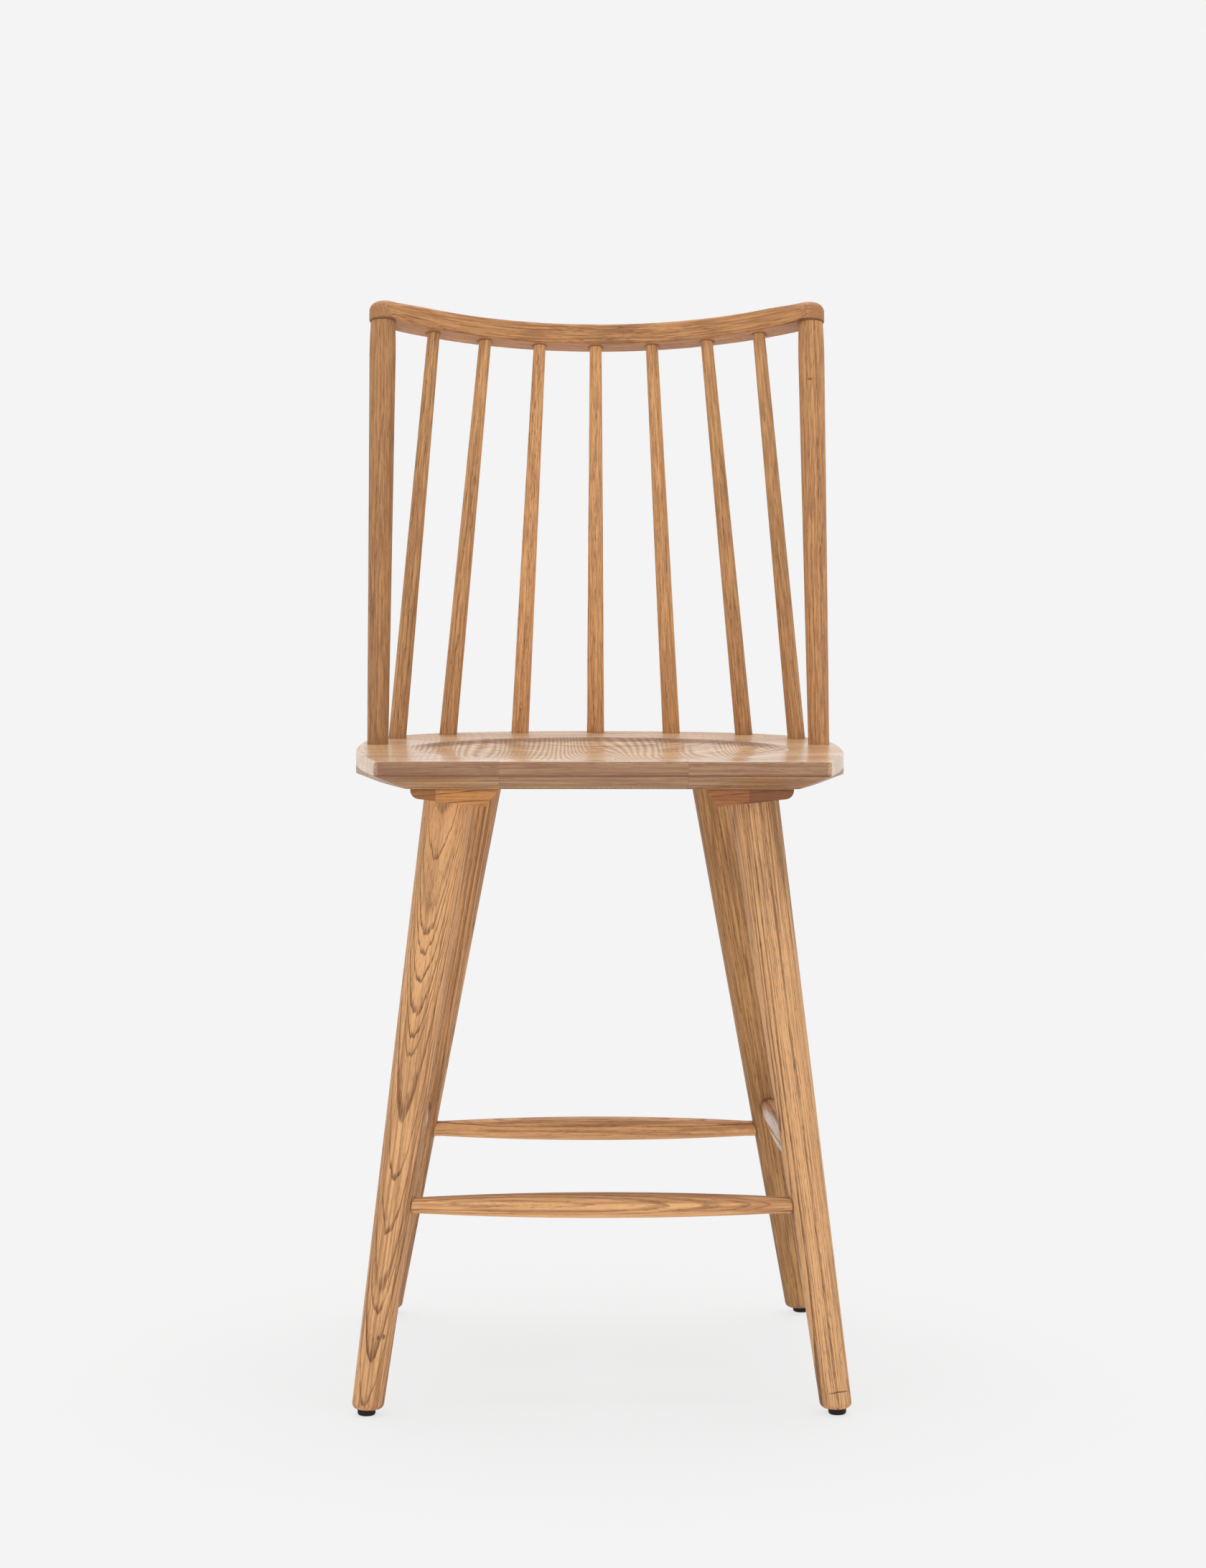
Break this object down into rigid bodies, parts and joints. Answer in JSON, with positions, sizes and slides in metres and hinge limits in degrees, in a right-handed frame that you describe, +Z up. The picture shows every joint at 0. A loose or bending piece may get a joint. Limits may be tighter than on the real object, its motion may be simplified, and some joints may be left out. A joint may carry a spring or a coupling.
{
  "type": "counter stool",
  "caption": "Oak counter stool with a dished seat, a fan of spindles under a bent crest rail, splayed round legs and a ring of stretchers.",
  "frame": {"origin": "on the floor, under the middle of the stool's width and depth", "axes": "+Z up, +X to the right seen from the front, +Y to the back of the stool"},
  "size_m": [0.476, 0.515, 1.0537],
  "materials": {
    "oak": "satin lacquer on brown-stained oak",
    "glide": "moulded black plastic",
    "screw": "zinc-plated steel"
  },
  "bodies": {
    "root": {"seat": "oak", "cleat_front_left": "oak", "cleat_front_right": "oak", "cleat_rear_left": "oak", "cleat_rear_right": "oak", "leg_front_left": "oak", "leg_front_right": "oak", "leg_rear_left": "oak", "leg_rear_right": "oak", "stretcher_front": "oak", "stretcher_rear": "oak", "stretcher_left": "oak", "stretcher_right": "oak", "post_left": "oak", "post_right": "oak", "spindle_1": "oak", "spindle_2": "oak", "spindle_3": "oak", "spindle_4": "oak", "spindle_5": "oak", "spindle_6": "oak", "spindle_7": "oak", "crest_rail": "oak", "glide_front_left": "glide", "glide_front_right": "glide", "glide_rear_left": "glide", "glide_rear_right": "glide", "glide_screws": "screw", "cleat_screws": "screw"}
  },
  "joints": []
}
